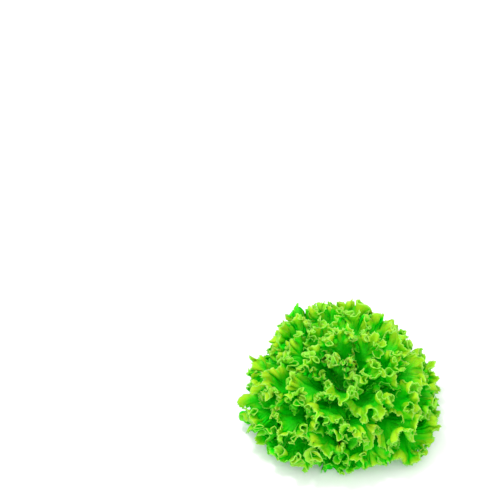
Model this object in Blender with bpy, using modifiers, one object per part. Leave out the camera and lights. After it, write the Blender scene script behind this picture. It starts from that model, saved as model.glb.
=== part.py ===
# Loose head of curly escarole: frilled leaves set in a spiral round a short cut stem.
# Metres, +Z up. The origin is the middle of the flat cut face that the head stands on.

import math

import bmesh
import bpy
import numpy as np
from mathutils.bvhtree import BVHTree

MM = 0.001

# The whole head
LEAF_COUNT = 42
HEAD_RADIUS = 127 * MM  # to the leaf tips, before the frills
HEAD_HEIGHT = 84 * MM  # of the dome of leaf tips above its widest ring
WIDEST_Z = 26 * MM
LOWEST_TIP = math.radians(-16)  # latitude of the outermost leaf tips on the dome
THREE_SIDED = 0.07  # share by which the head is broader towards three sides, seen from above
BROAD_HEADING = math.radians(95)  # one of the three
SPIRAL_STEP = math.radians(137.508)  # the golden angle between one leaf and the next
HEADING_JITTER = math.radians(5)
REACH_JITTER = 0.05
FLOOR_CLEARANCE = 1 * MM
FLOOR_EASE = 12 * MM  # below this height leaves flatten out along the surface
LOWEST_SHEET = 1.2 * MM

# Stem: a short cone with the cut face below
STEM_RADIUS = 19.6 * MM
STEM_CUT_BEVEL = 1.2 * MM
STEM_SHOULDER_Z = 7 * MM
STEM_TIP_RADIUS = 1.4 * MM
STEM_TIP_Z = 36 * MM
STEM_STEPS = 32

# Leaves: each pair gives the outermost and the innermost leaf
BASE_RADIUS = (21 * MM, 3.6 * MM)
BASE_Z = (8 * MM, 36 * MM)
HALF_WIDTH = (54 * MM, 20 * MM)
NECK_HALF_WIDTH = (9 * MM, 2.6 * MM)
WRAP_RADIUS = (60 * MM, 4 * MM)
ARCH = (math.radians(8), math.radians(-4))
ARCH_JITTER = math.radians(6)
STEEPEST_START = math.radians(92)
HANDLE = 0.55  # share of the way from base to tip that a midrib keeps its first direction
OVERRUN = 1.12  # frills may reach this far along a midrib's curve
WIDTH_JITTER = (0.92, 1.1)
BLADE = 0.65 * MM
LEAF_GAP = 0.35 * MM

# Flat outline of a leaf, as shares of its length
SHOULDER = 0.68  # where it is widest
NECK_END = 0.12
FOOT_PULL = 0.80  # how far up the margin's height a side vein leaves the midrib
FOOT_SPREAD = 0.75  # how much lower it leaves where the margin is far from the midrib
FOOT_LEAST = 0.5
SMOOTH_FOOT = (0.1, 0.25)  # below, the margin has half as many steps
FIRM_FOOT = (0.06, 0.30)  # below, a leaf doesn't give way to its neighbours

# Frills
FRILL = (8 * MM, 5 * MM)
OWN_FRILL = (14 * MM, 8 * MM)
OWN_FRILL_LENGTH = (29 * MM, 22 * MM)
OWN_WANDER = 1.3  # radians by which the steps of a leaf's own frill vary
OWN_WANDER_LENGTH = 90 * MM
FOLD_OVER = 0.35
FLARE = 1.7  # power by which the frills grow from the midrib to the margin
FLAT_MIDRIB = 0.05  # share of the veins without frills
FAN = (0.25, 0.75)  # share of the length over which the frills grow in
CENTRE_WAVE = 0.55  # of the margin's waves that reach the midrib near the tip
CENTRE_START = 0.35
LONG_VEIN = 32 * MM  # veins shorter than this carry a lower frill
FRILL_RADIUS = 95 * MM  # where the waves below have their size
WAVE_BEND = 0.6  # radians by which the shared waves wind
WAVE_BEND_LENGTH = 30 * MM
# Waves that all leaves share, so that they nest: cycles round the head, length along the leaf
# (negative where the wave leans the other way), share of the height, phase
SHARED_WAVES = (
    (11, 150 * MM, 0.75, 0.3),
    (6, -70 * MM, 0.60, 2.1),
    (-5, -58 * MM, 0.55, 4.4),
)

# Grid of a leaf: steps along its margin, and its rows from the midrib to the margin
MARGIN_STEPS = 40
ROWS = (0.0, 0.55, 1.0)

# Bending leaves clear of each other
CLEAR_ROUNDS = 60
REACH = 22 * MM
NEAR = 6 * MM
FOLD_MARGINS = (1.0, 1.15, 1.3)  # folds are opened until blades of these thicknesses fit
LARGEST_PUSH = 3 * MM
NUDGE = 0.45 * MM

GREENS = {
    "outer_leaf": (0.02, 0.42, 0.01, 1),
    "middle_leaf": (0.06, 0.52, 0.01, 1),
    "heart_leaf": (0.16, 0.62, 0.02, 1),
}
STEM_COLOUR = (0.72, 0.80, 0.45, 1)


def between(pair, share):
    return pair[0] + (pair[1] - pair[0]) * share


def ease(low, high, value):
    """0 below low, 1 above high, and smooth in between."""
    t = np.clip((value - low) / (high - low), 0, 1)
    return t * t * (3 - 2 * t)


def running_sum(steps):
    return np.concatenate([[0], np.cumsum(steps)])


def wander(along, seed, length):
    """Slow random wave of about unit height along a leaf's margin."""
    rng = np.random.default_rng(seed)
    total = np.zeros_like(along)
    for _ in range(4):
        wavelength = length * rng.uniform(0.75, 1.5)
        total += np.sin(2 * math.pi * along / wavelength + rng.uniform(0, 2 * math.pi))
    return total / math.sqrt(2)


def tip_latitude(share):
    """Latitude of a leaf tip on the dome, spread so that each leaf covers an equal area."""
    latitude = np.linspace(LOWEST_TIP, math.pi / 2, 400)
    slant = np.hypot(HEAD_RADIUS * np.sin(latitude), HEAD_HEIGHT * np.cos(latitude))
    area = np.cos(latitude) * slant
    covered = running_sum((area[1:] + area[:-1]) / 2)
    return float(np.interp(share, covered / covered[-1], latitude))


def leaf_profile(share, heading, rng):
    """Side view of a midrib: length of the leaf, then distance, radius, height and slope along it."""
    latitude = tip_latitude(share)
    reach = 1 + REACH_JITTER * rng.uniform(-1, 1)
    breadth = 1 + THREE_SIDED * math.cos(3 * (heading - BROAD_HEADING))
    base = np.array([between(BASE_RADIUS, share), between(BASE_Z, share)])
    tip = reach * np.array([breadth * HEAD_RADIUS * math.cos(latitude), HEAD_HEIGHT * math.sin(latitude)])
    tip[1] += WIDEST_Z
    run, rise = tip - base
    arch = between(ARCH, share) + ARCH_JITTER * rng.uniform(-1, 1)
    start = min(math.atan2(rise, run) + arch, STEEPEST_START)
    middle = base + HANDLE * math.hypot(run, rise) * np.array([math.cos(start), math.sin(start)])
    t = np.linspace(0, OVERRUN, 120)[:, None]
    points = (1 - t) ** 2 * base + 2 * t * (1 - t) * middle + t ** 2 * tip
    along = running_sum(np.hypot(*np.diff(points, axis=0).T))
    direction = np.gradient(points, axis=0)
    slope = np.arctan2(direction[:, 1], direction[:, 0])
    length = float(np.interp(1.0, t[:, 0], along))
    return length, along, points[:, 0], points[:, 1], slope


def leaf_outline(length, half_width, neck):
    """Flat margin from one foot of the leaf over its tip to the other, and each point's vein foot."""
    shoulder = SHOULDER * length
    turn = np.linspace(0, math.pi / 2, 120)
    tip_x = half_width * np.sin(turn) ** 0.75
    tip_y = shoulder + (length - shoulder) * np.cos(turn) ** 0.65
    fall = np.linspace(1, 0, 160)[1:]
    side_x = neck + (half_width - neck) * ease(NECK_END, 1.0, fall)
    x = np.concatenate([tip_x, side_x])
    y = np.concatenate([tip_y, shoulder * fall])
    steps = np.hypot(np.diff(x), np.diff(y))
    arc = running_sum(steps)
    crowding = 0.5 + 0.5 * ease(*SMOOTH_FOOT, (y[1:] + y[:-1]) / 2 / length)
    spread = running_sum(steps * crowding)
    u = np.linspace(-1, 1, MARGIN_STEPS + 1)
    place = np.abs(u) * spread[-1]
    margin_x = np.interp(place, spread, x) * np.sign(u)
    margin_y = np.interp(place, spread, y)
    margin_arc = np.interp(place, spread, arc) * np.sign(u)
    foot = FOOT_PULL * np.maximum(margin_y - FOOT_SPREAD * np.abs(margin_x), FOOT_LEAST * margin_y)
    outward = np.argsort(np.abs(u), kind="stable")
    foot[outward] = np.minimum.accumulate(foot[outward])
    foot[[0, -1]] = 0
    return margin_x, margin_y, margin_arc, foot


def shared_frill(angle, along):
    """Height and sideways fold of the waves that run through all leaves, for a height of 1."""
    height = np.zeros_like(angle)
    fold_round = np.zeros_like(angle)
    fold_along = np.zeros_like(angle)
    for cycles, length, weight, start in SHARED_WAVES:
        turns = cycles / FRILL_RADIUS
        climb = 2 * math.pi / length
        pitch = math.hypot(turns, climb)
        bend = WAVE_BEND * np.sin(3 * angle + along / WAVE_BEND_LENGTH + start)
        phase = cycles * angle + climb * along + start + bend
        height += weight * np.sin(phase)
        fold = -FOLD_OVER * weight * np.sin(2 * phase)
        fold_round += fold * turns / pitch
        fold_along += fold * climb / pitch
    return height, fold_round, fold_along


def leaf_sheet(number, kept):
    """Points of one leaf at the kept grid places, the way up from each, and how freely it moves."""
    share = (number + 0.5) / LEAF_COUNT
    rng = np.random.default_rng(1000 + number)
    heading = number * SPIRAL_STEP + HEADING_JITTER * rng.uniform(-1, 1)
    length, along, radius, height, slope = leaf_profile(share, heading, rng)
    half_width = between(HALF_WIDTH, share ** 0.9) * rng.uniform(*WIDTH_JITTER)
    neck = between(NECK_HALF_WIDTH, share)
    margin_x, margin_y, margin_arc, foot = leaf_outline(length, half_width, neck)
    rows = np.array(ROWS)[None, :]
    x = margin_x[:, None] * rows
    y = foot[:, None] * (1 - rows) + margin_y[:, None] * rows
    wrap_least = np.hypot(between(WRAP_RADIUS, share ** 0.6), 0.6 * margin_x[:, None] * share)
    wrap = np.maximum(np.interp(y, along, radius), wrap_least)

    # frills, strongest at the margin and none at the foot
    fan = ease(*FAN, margin_y / length)[:, None]
    rise = fan * np.clip((rows - FLAT_MIDRIB) / (1 - FLAT_MIDRIB), 0, 1) ** FLARE
    vein = np.hypot(margin_x, margin_y - foot)[:, None]
    centre = CENTRE_WAVE * ease(CENTRE_START, 1.0, y / length)
    strength = fan * centre + (1 - centre) * rise
    wave, fold_round, fold_along = shared_frill(heading + x / wrap, y)
    size = between(FRILL, share)
    arc = margin_arc[:, None] + 0 * rows
    own_phase = arc * 2 * math.pi / between(OWN_FRILL_LENGTH, share)
    own_phase = own_phase + OWN_WANDER * wander(arc, 30 + number, OWN_WANDER_LENGTH)
    own = between(OWN_FRILL, share) * np.sin(own_phase + 7 * rng.uniform(0, 1))
    lift = strength * size * wave + rise * own * np.minimum(1, vein / LONG_VEIN)
    x = x + strength * size * fold_round
    y = y + strength * size * fold_along

    # laid along the midrib's profile and wrapped round the head
    r = np.interp(y, along, radius)
    z = np.interp(y, along, height)
    a = np.interp(y, along, slope)
    wrap = np.maximum(r, wrap_least)
    turn = x / wrap
    outward = r - np.sin(a) * lift - wrap * (1 - np.cos(turn))
    sideways = wrap * np.sin(turn) * (1 - 0.5 * np.sin(a) * lift / wrap)
    z = above_floor(z + np.cos(a) * lift)
    points = np.stack([
        outward * math.cos(heading) - sideways * math.sin(heading),
        outward * math.sin(heading) + sideways * math.cos(heading),
        z,
    ], axis=-1)
    facing = heading + turn
    up = np.stack([-np.sin(a) * np.cos(facing), -np.sin(a) * np.sin(facing), np.cos(a)], axis=-1)
    freedom = ease(*FIRM_FOOT, y / length)
    return {
        "points": points.reshape(-1, 3)[kept],
        "up": up.reshape(-1, 3)[kept],
        "freedom": freedom.reshape(-1, 1)[kept],
    }


def above_floor(z):
    """Heights that would sink into the surface flatten out just above it."""
    span = FLOOR_EASE - LOWEST_SHEET
    sunk = np.minimum(z, FLOOR_EASE) - FLOOR_EASE
    return np.where(z < FLOOR_EASE, FLOOR_EASE - span * (1 - np.exp(sunk / span)), z)


def leaf_template():
    """Flat triangulated leaf grid, welded along the midrib; a layer holds each vertex's grid place."""
    mesh = bmesh.new()
    bmesh.ops.create_grid(mesh, x_segments=MARGIN_STEPS, y_segments=len(ROWS) - 1, size=1)
    bmesh.ops.triangulate(mesh, faces=mesh.faces[:], quad_method="FIXED")
    grid = mesh.verts.layers.int.new("grid")
    midrib = {}
    for vertex in mesh.verts:
        column = round((vertex.co.x + 1) / 2 * MARGIN_STEPS)
        row = round((vertex.co.y + 1) / 2 * (len(ROWS) - 1))
        vertex[grid] = column * len(ROWS) + row
        if row == 0:
            midrib[column] = vertex
    right_half = range(MARGIN_STEPS // 2 + 1, MARGIN_STEPS + 1)
    weld = {midrib[column]: midrib[MARGIN_STEPS - column] for column in right_half}
    bmesh.ops.weld_verts(mesh, targetmap=weld)
    mesh.verts.index_update()
    return mesh, grid


def leaf_topology():
    """Grid places kept after the weld, triangles, rim edges, and the averaging over neighbours."""
    mesh, grid = leaf_template()
    kept = np.array([vertex[grid] for vertex in mesh.verts])
    triangles = [[vertex.index for vertex in face.verts] for face in mesh.faces]
    rim = [[vertex.index for vertex in edge.verts] for edge in mesh.edges if edge.is_boundary]
    average = np.zeros((len(kept), len(kept)))
    for edge in mesh.edges:
        a, b = (vertex.index for vertex in edge.verts)
        average[a, b] = 1
        average[b, a] = 1
    average /= average.sum(axis=1, keepdims=True)
    mesh.free()
    return {"kept": kept, "triangles": triangles, "rim": rim, "average": average}


def vertex_normals(points, triangles):
    """Normals of the sheet at its vertices, each face weighted by its corner's angle."""
    corners = points[np.array(triangles)]
    normals = np.zeros_like(points)
    face = np.cross(corners[:, 1] - corners[:, 0], corners[:, 2] - corners[:, 0])
    face /= np.linalg.norm(face, axis=-1, keepdims=True) + 1e-12
    for k in range(3):
        first = corners[:, (k + 1) % 3] - corners[:, k]
        second = corners[:, (k + 2) % 3] - corners[:, k]
        cosine = (first * second).sum(axis=-1)
        cosine /= np.linalg.norm(first, axis=-1) * np.linalg.norm(second, axis=-1) + 1e-12
        angle = np.arccos(np.clip(cosine, -1, 1))[:, None]
        np.add.at(normals, np.array(triangles)[:, k], face * angle)
    return normals / (np.linalg.norm(normals, axis=-1, keepdims=True) + 1e-12)


def faces_tree(points, normals, thickness, topology):
    """Search tree and triangles of a blade of the given thickness round a sheet."""
    count = len(points)
    both = np.concatenate([points + normals * thickness / 2, points - normals * thickness / 2])
    triangles = list(topology["triangles"])
    triangles += [[index + count for index in triangle] for triangle in topology["triangles"]]
    for a, b in topology["rim"]:
        triangles += [[a, b, b + count], [a, b + count, a + count]]
        triangles += [[a, b, a + count], [b, b + count, a + count]]
    return BVHTree.FromPolygons(both.tolist(), triangles), triangles


def survey(leaf, topology):
    """Search trees and box of one leaf as it now stands."""
    points = leaf["points"]
    normals = vertex_normals(points, topology["triangles"])
    spaced = BLADE + LEAF_GAP
    leaf["triangle_up"] = leaf["up"][np.array(topology["triangles"])].mean(axis=1)
    leaf["sheet"] = BVHTree.FromPolygons(points.tolist(), topology["triangles"])
    leaf["spaced"], leaf["faces"] = faces_tree(points, normals, spaced, topology)
    leaf["blades"] = [faces_tree(points, normals, BLADE * k, topology)[0] for k in FOLD_MARGINS]
    leaf["low"] = points.min(axis=0) - spaced
    leaf["high"] = points.max(axis=0) + spaced
    leaf["push"] = np.zeros_like(points)


def push_past(moving, still, side):
    """Points of one leaf that lie on the wrong side of another move half of the way back."""
    points = moving["points"]
    near = np.all((points > still["low"] - NEAR) & (points < still["high"] + NEAR), axis=1)
    for index in np.nonzero(near)[0]:
        way = moving["up"][index] * side
        place, _, triangle, distance = still["sheet"].ray_cast(points[index].tolist(), way.tolist(), REACH)
        if place is not None and still["triangle_up"][triangle] @ way * side > 0.2:
            moving["push"][index] += way * min(0.5 * (distance + BLADE + LEAF_GAP), LARGEST_PUSH)


def nudge(moving, side, crossed):
    count = len(moving["points"])
    for index in {vertex % count for face in crossed for vertex in moving["faces"][face]}:
        moving["push"][index] += moving["up"][index] * side * NUDGE


def part_leaves(outer, inner):
    """Push a pair of leaves that cross apart. True if they crossed."""
    if np.any(outer["low"] > inner["high"]) or np.any(inner["low"] > outer["high"]):
        return False
    crossed = outer["spaced"].overlap(inner["spaced"])
    if crossed:
        push_past(inner, outer, 1)
        push_past(outer, inner, -1)
        nudge(outer, -1, {pair[0] for pair in crossed})
        nudge(inner, 1, {pair[1] for pair in crossed})
    return bool(crossed)


def open_fold(leaf, topology):
    """Soften the folds that are too tight for the blade's thickness. True if there was one."""
    count = len(leaf["points"])
    faces = leaf["faces"]
    tight = set()
    for blade in leaf["blades"]:
        for a, b in blade.overlap(blade):
            if a < b and not set(faces[a]) & set(faces[b]):
                tight.update(vertex % count for vertex in faces[a] + faces[b])
    share = np.zeros((count, 1))
    share[list(tight)] = 0.5
    share = np.maximum(share, 0.6 * topology["average"] @ share)
    leaf["points"] = leaf["points"] + share * (topology["average"] @ leaf["points"] - leaf["points"])
    return bool(tight)


def bend_clear(leaves, topology):
    """Bend leaves that cross away from each other, the outer one down and the inner one up."""
    steady = 0.5 * (np.eye(len(topology["kept"])) + topology["average"])
    for _ in range(CLEAR_ROUNDS):
        for leaf in leaves:
            survey(leaf, topology)
        pairs = [(a, b) for b in range(len(leaves)) for a in range(b)]
        crossings = sum(part_leaves(leaves[a], leaves[b]) for a, b in pairs)
        for leaf in leaves:
            length = np.linalg.norm(leaf["push"], axis=-1, keepdims=True)
            push = leaf["push"] * np.minimum(1, LARGEST_PUSH / (length + 1e-9))
            leaf["points"] = leaf["points"] + steady @ steady @ push * leaf["freedom"]
            crossings += open_fold(leaf, topology)
            leaf["points"][:, 2] = np.maximum(leaf["points"][:, 2], FLOOR_CLEARANCE)
        if crossings == 0:
            return


def principled(name, colour, roughness):
    material = bpy.data.materials.new(name)
    material.use_nodes = True
    shader = material.node_tree.nodes["Principled BSDF"]
    shader.inputs["Base Color"].default_value = colour
    shader.inputs["Roughness"].default_value = roughness
    shader.inputs["Metallic"].default_value = 0
    return material


def add_leaf(collection, name, points, material):
    mesh, _ = leaf_template()
    for vertex, place in zip(mesh.verts, points):
        vertex.co = place
    data = bpy.data.meshes.new(name)
    mesh.to_mesh(data)
    mesh.free()
    data.materials.append(material)
    leaf = bpy.data.objects.new(name, data)
    collection.objects.link(leaf)
    blade = leaf.modifiers.new("blade", "SOLIDIFY")
    blade.thickness = BLADE
    blade.offset = 0
    return leaf


def add_stem(collection, material):
    """Turned cone: the profile runs down its outer side from the tip to the cut face."""
    profile = (
        (0, STEM_TIP_Z),
        (STEM_TIP_RADIUS, STEM_TIP_Z - STEM_TIP_RADIUS),
        (STEM_RADIUS, STEM_SHOULDER_Z),
        (STEM_RADIUS, STEM_CUT_BEVEL),
        (STEM_RADIUS - STEM_CUT_BEVEL, 0),
        (0, 0),
    )
    data = bpy.data.meshes.new("stem")
    edges = [(i, i + 1) for i in range(len(profile) - 1)]
    data.from_pydata([(radius, 0, z) for radius, z in profile], edges, [])
    data.materials.append(material)
    stem = bpy.data.objects.new("stem", data)
    collection.objects.link(stem)
    turn = stem.modifiers.new("turn", "SCREW")
    turn.steps = STEM_STEPS
    turn.render_steps = STEM_STEPS
    turn.use_merge_vertices = True
    turn.merge_threshold = 0.0001
    return stem


def main():
    for thing in list(bpy.data.objects):
        bpy.data.objects.remove(thing)
    collection = bpy.data.collections.new("escarole")
    bpy.context.scene.collection.children.link(collection)
    materials = {name: principled(name, colour, 0.45) for name, colour in GREENS.items()}
    add_stem(collection, principled("stem", STEM_COLOUR, 0.55))
    topology = leaf_topology()
    leaves = [leaf_sheet(number, topology["kept"]) for number in range(LEAF_COUNT)]
    bend_clear(leaves, topology)
    rings = list(materials)
    for number, leaf in enumerate(leaves):
        ring = rings[number * len(rings) // LEAF_COUNT]
        add_leaf(collection, f"leaf_{number + 1:02d}", leaf["points"], materials[ring])


main()
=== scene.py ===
# Loose head of curly escarole, standing on its cut stem on a pale floor.
import math

import bmesh
import bpy
import numpy as np
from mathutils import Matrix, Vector
from mathutils.bvhtree import BVHTree


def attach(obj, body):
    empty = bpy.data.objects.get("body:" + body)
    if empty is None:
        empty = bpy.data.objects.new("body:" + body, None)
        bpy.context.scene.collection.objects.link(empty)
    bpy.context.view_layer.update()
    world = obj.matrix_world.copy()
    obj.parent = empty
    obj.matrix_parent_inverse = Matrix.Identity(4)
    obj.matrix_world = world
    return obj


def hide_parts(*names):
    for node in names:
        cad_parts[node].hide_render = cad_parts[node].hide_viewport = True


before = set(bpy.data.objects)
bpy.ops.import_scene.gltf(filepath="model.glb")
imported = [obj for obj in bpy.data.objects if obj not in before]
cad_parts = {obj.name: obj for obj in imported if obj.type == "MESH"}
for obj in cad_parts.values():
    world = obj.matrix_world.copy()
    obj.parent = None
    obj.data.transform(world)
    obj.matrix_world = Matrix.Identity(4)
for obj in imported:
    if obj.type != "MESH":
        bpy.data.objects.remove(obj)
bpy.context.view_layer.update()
mm = 0.001

# Head and leaf sizes, as the solids have them. A pair gives the outermost and the innermost leaf.
head = {
    "leafCount": 42,
    "radius": 127 * mm,  # to the leaf tips, before the frills
    "height": 84 * mm,
    "widestZ": 26 * mm,
    "lowestTip": math.radians(-16),
    "threeSided": 0.07,
    "broadHeading": math.radians(95),
    "spiralStep": math.radians(137.508),
    "headingJitter": math.radians(5),
    "reachJitter": 0.05,
    "floorClearance": 1 * mm,
    "floorEase": 12 * mm,
    "lowestSheet": 1.2 * mm,
    "seed": 1000,
    "domeSteps": 400,
}
leafShape = {
    "baseRadius": (21 * mm, 3.6 * mm),
    "baseZ": (8 * mm, 36 * mm),
    "halfWidth": (54 * mm, 20 * mm),
    "widthPower": 0.9,  # below 1, the first inner leaves already are much narrower
    "neckHalfWidth": (9 * mm, 2.6 * mm),
    "wrapRadius": (60 * mm, 4 * mm),  # least radius that a leaf wraps round
    "wrapPower": 0.6,
    "wrapSpread": 0.6,
    "arch": (math.radians(8), math.radians(-4)),
    "archJitter": math.radians(6),
    "steepestStart": math.radians(92),
    "handle": 0.55,
    "overrun": 1.12,
    "widthJitter": (0.92, 1.1),
    "shoulder": 0.68,
    "tipRound": (0.75, 0.65),
    "footCrowding": 0.5,
    "neckEnd": 0.12,
    "footPull": 0.80,
    "footSpread": 0.75,
    "footLeast": 0.5,
    "smoothFoot": (0.1, 0.25),
    "firmFoot": (0.06, 0.30),
    "profileSteps": 120,
    "tipSteps": 120,
    "sideSteps": 160,
}
bigFrill = {  # the folds that the solids have too
    "shared": (8 * mm, 5 * mm),
    "own": (14 * mm, 8 * mm),
    "ownLength": (29 * mm, 22 * mm),
    "ownWander": 1.3,
    "ownWanderLength": 90 * mm,
    "ownShift": 7,
    "ownSeed": 30,
    "foldOver": 0.35,
    "flare": 1.7,
    "flatMidrib": 0.05,
    "fan": (0.25, 0.75),
    "centreWave": 0.55,
    "centreStart": 0.35,
    "longVein": 32 * mm,
    "drawnIn": 0.5,  # how far a lifted place is drawn in towards the midrib
    "radius": 95 * mm,
    "bend": 0.6,
    "bendLength": 30 * mm,
    # cycles round the head, length along the leaf, share of the height, phase
    "waves": ((11, 150 * mm, 0.75, 0.3), (6, -70 * mm, 0.60, 2.1), (-5, -58 * mm, 0.55, 4.4)),
}
coarse = {"steps": 40, "rows": (0.0, 0.55, 1.0)}  # grid on which the leaves are bent clear
clearing = {
    "rounds": 60,
    "reach": 22 * mm,
    "near": 6 * mm,
    "foldMargins": (1.0, 1.15, 1.3),
    "largestPush": 3 * mm,
    "facing": 0.2,  # least cosine between the push and the sheet that it passes
    "nudge": 0.45 * mm,
    "blade": 0.65 * mm,
    "gap": 0.35 * mm,
    "soften": 0.5,  # of a tight fold in one round
    "softenNear": 0.6,
}


def between(pair, share):
    return pair[0] + (pair[1] - pair[0]) * share


def ease(low, high, value):  # 0 below low, 1 above high, smooth in between
    t = np.clip((value - low) / (high - low), 0, 1)
    return t * t * (3 - 2 * t)


def grow(low, value, power):  # 0 below low, then steeper and steeper up to 1
    return np.clip((value - low) / (1 - low), 0, 1) ** power


def runningSum(steps):
    return np.concatenate([[0], np.cumsum(steps)])


def unit(vectors):
    return vectors / (np.linalg.norm(vectors, axis=-1, keepdims=True) + 1e-12)


def wander(along, seed, length, waves=4):  # slow random wave of about unit height
    rng = np.random.default_rng(seed)
    total = np.zeros_like(along)
    for _ in range(waves):
        wavelength = length * rng.uniform(0.75, 1.5)
        total += np.sin(2 * math.pi * along / wavelength + rng.uniform(0, 2 * math.pi))
    return total / math.sqrt(waves / 2)


# The leaves as the solids have them


def tipLatitude(share):  # spread over the dome so that each leaf covers an equal area
    latitude = np.linspace(head["lowestTip"], math.pi / 2, head["domeSteps"])
    slant = np.hypot(head["radius"] * np.sin(latitude), head["height"] * np.cos(latitude))
    area = np.cos(latitude) * slant
    covered = runningSum((area[1:] + area[:-1]) / 2)
    return float(np.interp(share, covered / covered[-1], latitude))


def leafProfile(share, heading, rng):  # side view of a midrib: distance, radius, height, slope
    shape = leafShape
    latitude = tipLatitude(share)
    reach = 1 + head["reachJitter"] * rng.uniform(-1, 1)
    breadth = 1 + head["threeSided"] * math.cos(3 * (heading - head["broadHeading"]))
    base = np.array([between(shape["baseRadius"], share), between(shape["baseZ"], share)])
    out, up = breadth * head["radius"] * math.cos(latitude), head["height"] * math.sin(latitude)
    tip = reach * np.array([out, up])
    tip[1] += head["widestZ"]
    run, rise = tip - base
    arch = between(shape["arch"], share) + shape["archJitter"] * rng.uniform(-1, 1)
    start = min(math.atan2(rise, run) + arch, shape["steepestStart"])
    handle = shape["handle"] * math.hypot(run, rise)
    middle = base + handle * np.array([math.cos(start), math.sin(start)])
    t = np.linspace(0, shape["overrun"], shape["profileSteps"])[:, None]
    points = (1 - t) ** 2 * base + 2 * t * (1 - t) * middle + t ** 2 * tip
    along = runningSum(np.hypot(*np.diff(points, axis=0).T))
    direction = np.gradient(points, axis=0)
    slope = np.arctan2(direction[:, 1], direction[:, 0])
    length = float(np.interp(1.0, t[:, 0], along))
    return length, along, points[:, 0], points[:, 1], slope


def leafOutline(length, halfWidth, neck, steps):  # flat margin, and the foot of each side vein
    shape = leafShape
    shoulder = shape["shoulder"] * length
    turn = np.linspace(0, math.pi / 2, shape["tipSteps"])
    tipX = halfWidth * np.sin(turn) ** shape["tipRound"][0]
    tipY = shoulder + (length - shoulder) * np.cos(turn) ** shape["tipRound"][1]
    fall = np.linspace(1, 0, shape["sideSteps"])[1:]
    sideX = neck + (halfWidth - neck) * ease(shape["neckEnd"], 1.0, fall)
    x = np.concatenate([tipX, sideX])
    y = np.concatenate([tipY, shoulder * fall])
    lengths = np.hypot(np.diff(x), np.diff(y))
    arc = runningSum(lengths)
    upLeaf = (y[1:] + y[:-1]) / 2 / length
    crowding = between((shape["footCrowding"], 1), ease(*shape["smoothFoot"], upLeaf))
    spread = runningSum(lengths * crowding)
    u = np.linspace(-1, 1, steps + 1)
    place = np.abs(u) * spread[-1]
    marginX = np.interp(place, spread, x) * np.sign(u)
    marginY = np.interp(place, spread, y)
    marginArc = np.interp(place, spread, arc) * np.sign(u)
    pulled = np.maximum(marginY - shape["footSpread"] * np.abs(marginX), shape["footLeast"] * marginY)
    foot = shape["footPull"] * pulled
    outward = np.argsort(np.abs(u), kind="stable")
    foot[outward] = np.minimum.accumulate(foot[outward])
    foot[[0, -1]] = 0
    return marginX, marginY, marginArc, foot


def sharedWaves(frill, angle, along):  # waves that run through all leaves: height and sideways folds
    height = np.zeros_like(angle)
    foldRound = np.zeros_like(angle)
    foldAlong = np.zeros_like(angle)
    for cycles, length, weight, start in frill["waves"]:
        turns = cycles / frill["radius"]
        climb = 2 * math.pi / length
        pitch = math.hypot(turns, climb)
        bend = frill["bend"] * np.sin(3 * angle + along / frill["bendLength"] + start)
        phase = cycles * angle + climb * along + start + bend
        height += weight * np.sin(phase)
        fold = -frill["foldOver"] * weight * np.sin(2 * phase)
        foldRound += fold * turns / pitch
        foldAlong += fold * climb / pitch
    return height, foldRound, foldAlong


def aboveFloor(z):
    span = head["floorEase"] - head["lowestSheet"]
    sunk = np.minimum(z, head["floorEase"]) - head["floorEase"]
    return np.where(z < head["floorEase"], head["floorEase"] - span * (1 - np.exp(sunk / span)), z)


def leafSheet(number, steps, rowPlaces):  # one leaf's points on a grid of margin steps and rows
    shape, waves = leafShape, bigFrill
    share = (number + 0.5) / head["leafCount"]
    rng = np.random.default_rng(head["seed"] + number)
    heading = number * head["spiralStep"] + head["headingJitter"] * rng.uniform(-1, 1)
    length, along, radius, height, slope = leafProfile(share, heading, rng)
    halfWidth = between(shape["halfWidth"], share ** shape["widthPower"])
    halfWidth = halfWidth * rng.uniform(*shape["widthJitter"])
    neck = between(shape["neckHalfWidth"], share)
    marginX, marginY, marginArc, foot = leafOutline(length, halfWidth, neck, steps)
    rows = np.array(rowPlaces)[None, :]
    x = marginX[:, None] * rows
    y = foot[:, None] * (1 - rows) + marginY[:, None] * rows
    wrapLeast = between(shape["wrapRadius"], share ** shape["wrapPower"])
    wrapLeast = np.hypot(wrapLeast, shape["wrapSpread"] * marginX[:, None] * share)
    wrap = np.maximum(np.interp(y, along, radius), wrapLeast)
    fan = ease(*waves["fan"], marginY / length)[:, None]
    rise = fan * grow(waves["flatMidrib"], rows, waves["flare"])
    vein = np.hypot(marginX, marginY - foot)[:, None]
    centre = waves["centreWave"] * ease(waves["centreStart"], 1.0, y / length)
    strength = fan * centre + (1 - centre) * rise
    wave, foldRound, foldAlong = sharedWaves(waves, heading + x / wrap, y)
    size = between(waves["shared"], share)
    arc = marginArc[:, None] + 0 * rows
    ownPhase = arc * 2 * math.pi / between(waves["ownLength"], share)
    ownPhase += waves["ownWander"] * wander(arc, waves["ownSeed"] + number, waves["ownWanderLength"])
    own = between(waves["own"], share) * np.sin(ownPhase + waves["ownShift"] * rng.uniform(0, 1))
    lift = strength * size * wave + rise * own * np.minimum(1, vein / waves["longVein"])
    x = x + strength * size * foldRound
    y = y + strength * size * foldAlong
    r = np.interp(y, along, radius)
    z = np.interp(y, along, height)
    a = np.interp(y, along, slope)
    wrap = np.maximum(r, wrapLeast)
    turn = x / wrap
    out = r - np.sin(a) * lift - wrap * (1 - np.cos(turn))
    sideways = wrap * np.sin(turn) * (1 - waves["drawnIn"] * np.sin(a) * lift / wrap)
    points = np.stack([
        out * math.cos(heading) - sideways * math.sin(heading),
        out * math.sin(heading) + sideways * math.cos(heading),
        aboveFloor(z + np.cos(a) * lift),
    ], axis=-1)
    facing = heading + turn
    up = np.stack([-np.sin(a) * np.cos(facing), -np.sin(a) * np.sin(facing), np.cos(a)], axis=-1)
    freedom = ease(*shape["firmFoot"], y / length)[..., None]
    return {"points": points, "up": up, "freedom": freedom, "heading": heading}


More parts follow.
